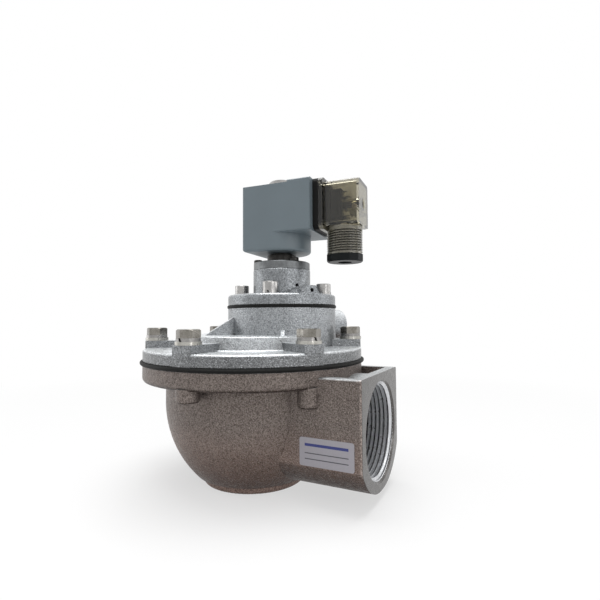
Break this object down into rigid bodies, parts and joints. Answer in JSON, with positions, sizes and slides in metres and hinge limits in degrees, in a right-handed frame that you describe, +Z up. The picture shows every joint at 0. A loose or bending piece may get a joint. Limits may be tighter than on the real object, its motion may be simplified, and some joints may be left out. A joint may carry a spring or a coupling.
{
  "type": "dust collector pulse valve",
  "caption": "Right-angle diaphragm pulse valve with a cast body, pilot stage, solenoid coil and clear cable plug.",
  "frame": {"origin": "centre of the bottom port, on its end face", "axes": "+Z up along the valve axis, out of the bottom port's far side; +X out of the side port; the pilot stage leans to 60 degrees from +X towards +Y"},
  "size_m": [0.1372, 0.125, 0.172],
  "materials": {
    "cast_aluminium": "as cast, bead blasted",
    "cover_aluminium": "as cast, bead blasted, bright",
    "zinc_steel": "zinc plated",
    "dark_steel": "dark, oiled",
    "stainless_steel": "turned",
    "spring_steel": "drawn wire",
    "nitrile_rubber": "matte, moulded",
    "seal_polymer": "smooth",
    "grey_moulding": "satin, moulded",
    "smoky_clear": "clear polycarbonate, smoky",
    "black_nylon": "moulded",
    "brass": "machined",
    "copper": "machined copper",
    "board_laminate": "laminate",
    "lamp_red": "clear red"
  },
  "bodies": {
    "valve": {"valve_body": "cast_aluminium", "main_diaphragm": "nitrile_rubber", "main_spring": "spring_steel", "main_cover": "cover_aluminium", "cover_bolts": "zinc_steel", "cover_spring_washers": "zinc_steel", "cover_flat_washers": "zinc_steel", "pilot_diaphragm": "nitrile_rubber", "pilot_spring": "spring_steel", "pilot_cover": "cover_aluminium", "pilot_cover_screws": "zinc_steel", "pilot_cover_spring_washers": "zinc_steel", "tube_o_ring": "nitrile_rubber", "armature_tube": "stainless_steel", "tube_clamp_plate": "dark_steel", "tube_screws": "zinc_steel", "fixed_core": "stainless_steel", "shading_ring": "copper", "plunger_spring": "spring_steel", "coil_washer": "zinc_steel", "coil_nut": "zinc_steel"},
    "main_disc": {"main_upper_plate": "zinc_steel", "main_seat_disc": "seal_polymer", "main_stack_washer": "zinc_steel", "main_stack_bolt": "zinc_steel", "main_stack_nut": "zinc_steel"},
    "pilot_disc": {"pilot_upper_plate": "zinc_steel", "pilot_seat_disc": "seal_polymer", "pilot_rivet": "stainless_steel"},
    "armature": {"plunger": "stainless_steel", "plunger_seal": "nitrile_rubber"},
    "coil": {"coil_housing": "grey_moulding", "coil_terminals": "brass", "connector_gasket": "nitrile_rubber", "connector_housing": "smoky_clear", "connector_carrier": "black_nylon", "connector_contacts": "brass", "contact_screws": "zinc_steel", "indicator_board": "board_laminate", "indicator_lamp": "lamp_red", "connector_screw": "zinc_steel", "gland_washer": "zinc_steel", "gland_grommet": "nitrile_rubber", "gland_nut": "black_nylon"}
  },
  "joints": [
    {"name": "main_lift", "type": "slide", "parent": "valve", "child": "main_disc", "axis": [0, 0, 1], "range_m": [0, 0.006], "stiffness_N_per_m": 600, "springref_m": -0.004, "deforming": ["main_diaphragm", "main_spring"]},
    {"name": "pilot_lift", "type": "slide", "parent": "valve", "child": "pilot_disc", "axis": [0, 0, 1], "range_m": [0, 0.003], "stiffness_N_per_m": 300, "springref_m": -0.003, "deforming": ["pilot_diaphragm", "pilot_spring"]},
    {"name": "plunger_lift", "type": "slide", "parent": "valve", "child": "armature", "axis": [0, 0, 1], "range_m": [0, 0.0017], "stiffness_N_per_m": 250, "springref_m": -0.004, "deforming": ["plunger_spring"]},
    {"name": "coil_swivel", "type": "hinge", "parent": "valve", "child": "coil", "pos_m": [0.0092, 0.01594, 0.147], "axis": [0, 0, 1], "range_deg": [-170, 170]}
  ]
}
